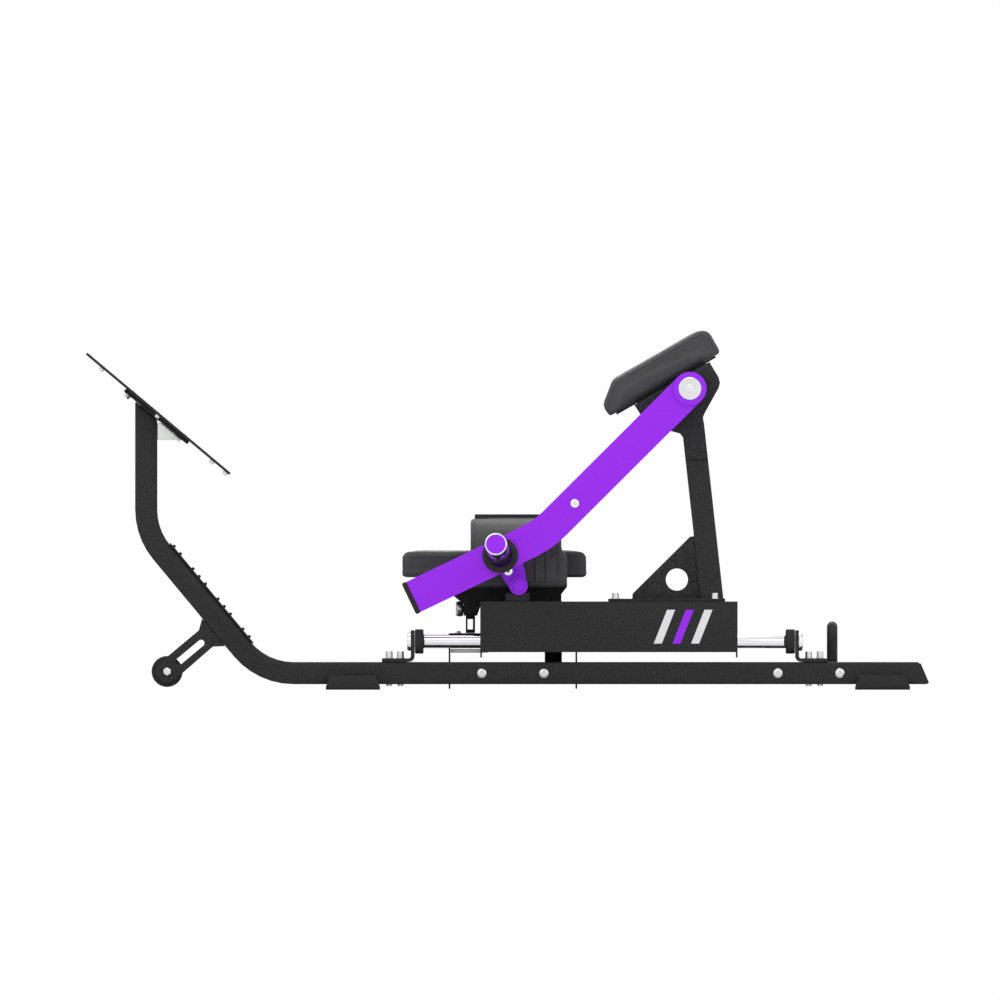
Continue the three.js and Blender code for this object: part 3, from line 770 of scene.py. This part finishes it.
def shims():
    """Thin gaskets and paint fillets that close the joints between bolted pieces."""
    lower = Kit()
    upper = Kit()
    joint = 0.00015                       # middle of the gap between two bolted pieces
    rail_top = RAIL_Z + RAIL_HALF + joint
    box_top = BOX_TOP_Z + joint
    tilt = Matrix.Rotation(PLATE_TILT, 4, "Y")
    slope = Matrix.Rotation(-SLANT, 4, "Y")
    lean = Matrix.Rotation(-PAD_TILT, 4, "Y")
    lower.add(strip(0.184, 0.476), Matrix.Translation(on_plate(0.212, PLATE_THICK + joint, 0)) @ tilt)
    for side in SIDES:
        y = side * SIDE_Y
        lower.add(strip(0.056, 0.046), Matrix.Translation(on_plate(0.196, 0.01445, y)) @ tilt)
        tread = strip(0.29, 0.046, 0.0022, 0.0004)
        lower.add(tread, Matrix.Translation(on_slant(0.211, 0.02565, y)) @ slope)
        for x in ROD_BRACKETS_X:
            lower.add(strip(0.055, 0.046), Matrix.Translation((x, y, rail_top)))
        upper.add(strip(0.262, 0.072), Matrix.Translation((0.359, y, box_top)))
        upper.add(strip(0.052, 0.029), Matrix.Translation((0.0233, side * 0.232, box_top)))
        lower.add(strip(0.07, 0.036), Matrix.Translation(on_slant(0.14, -0.0252, y)) @ slope)
    for along, away, size in ((-0.03, 0.03085, 0.178), (-0.043, 0.03525, 0.255)):
        upper.add(strip(size, 0.41, 0.0014, 0.0004), Matrix.Translation(on_pad(along, away, 0)) @ lean)
    lower.build("base_gaskets", "powder_coat", "base")
    upper.build("carriage_gaskets", "powder_coat", "carriage")


def side_stripes():
    """Plain slanted paint stripes on the outer carriage panels."""
    light = Kit()
    bright = Kit()
    first_x = 0.33
    pitch = 0.042
    width = 0.018
    lean = 0.03
    low = 0.104
    high = 0.180
    half_thick = 0.0004
    for side in SIDES:
        face = side * (BOX_OUTER_Y + half_thick)
        back = side * (BOX_OUTER_Y - half_thick)
        for index in range(3):
            x = first_x + index * pitch
            outline = [(x, low), (x + width, low), (x + width + lean, high), (x + lean, high)]
            verts = [(px, face, pz) for px, pz in outline] + [(px, back, pz) for px, pz in outline]
            faces = [(0, 1, 2, 3), (7, 6, 5, 4), (0, 4, 5, 1), (1, 5, 6, 2), (2, 6, 7, 3), (3, 7, 4, 0)]
            if side > 0:
                faces = [f[::-1] for f in faces]
            (bright if index == 1 else light).add((verts, faces), Matrix.Identity(4))
    light.build("panel_stripes", "stripe_light", "carriage")
    bright.build("panel_stripes_bright", "purple_coat", "carriage")


# ---- stage --------------------------------------------------------------------------------
def area_light(name, spot, aim, size, power):
    """Square lamp at a spot, turned towards a point."""
    data = bpy.data.lights.new(name, "AREA")
    data.shape = "SQUARE"
    data.size = size
    data.energy = power
    lamp = bpy.data.objects.new(name, data)
    lamp.location = spot
    lamp.rotation_euler = (Vector(aim) - Vector(spot)).to_track_quat("-Z", "Y").to_euler()
    bpy.context.scene.collection.objects.link(lamp)


def stage():
    """White studio: a floor just under the feet, an even sky and four soft lamps."""
    half = 6
    floor_z = -0.001
    corners = [(-half, -half, floor_z), (half, -half, floor_z), (half, half, floor_z),
               (-half, half, floor_z)]
    mesh = bpy.data.meshes.new("floor")
    mesh.from_pydata(corners, [], [(0, 1, 2, 3)])
    floor = bpy.data.objects.new("floor", mesh)
    bpy.context.scene.collection.objects.link(floor)
    mat, tree, bsdf = shader("floor_paint", (0.82, 0.82, 0.82), 0.0, 0.7)
    cloud = noise(tree, coords(tree), 1.5, 2.0)
    tree.links.new(ramp(tree, cloud, [(0.3, 0.8), (0.7, 0.84)]), bsdf.inputs["Base Color"])
    mesh.materials.append(mat)
    world = bpy.data.worlds.new("studio")
    world.use_nodes = True
    world.node_tree.nodes["Background"].inputs["Color"].default_value = (1, 1, 1, 1)
    world.node_tree.nodes["Background"].inputs["Strength"].default_value = 1.0
    bpy.context.scene.world = world
    area_light("key", (-1.8, -3.2, 2.6), (0, 0, 0.4), 2.2, 45)
    area_light("fill", (2.6, -2.6, 1.6), (0.2, 0, 0.4), 2.0, 16)
    area_light("top", (0, 0.3, 3.4), (0, 0, 0.3), 2.5, 30)
    area_light("back", (0.5, 3.4, 2.4), (0, 0, 0.4), 2.2, 25)


def camera():
    """Level view square to the machine's side, without perspective."""
    data = bpy.data.cameras.new("camera")
    data.type = "ORTHO"
    data.ortho_scale = 2.25
    data.clip_end = 100
    eye = bpy.data.objects.new("camera", data)
    eye.location = (-0.016, -8.0, 0.427)
    eye.rotation_euler = (math.pi / 2, 0, 0)
    bpy.context.scene.collection.objects.link(eye)
    bpy.context.scene.camera = eye


camera()
for entry in frame["record"]["subparts"]:
    finish_node(entry["node"], entry["material_slot"])
make_seat()
make_back_pad()
make_belt()
base_fasteners()
tread_studs()
end_plugs()
carriage_fasteners()
lever_fasteners()
shims()
side_stripes()
stage()
bpy.context.scene.view_settings.view_transform = "Standard"
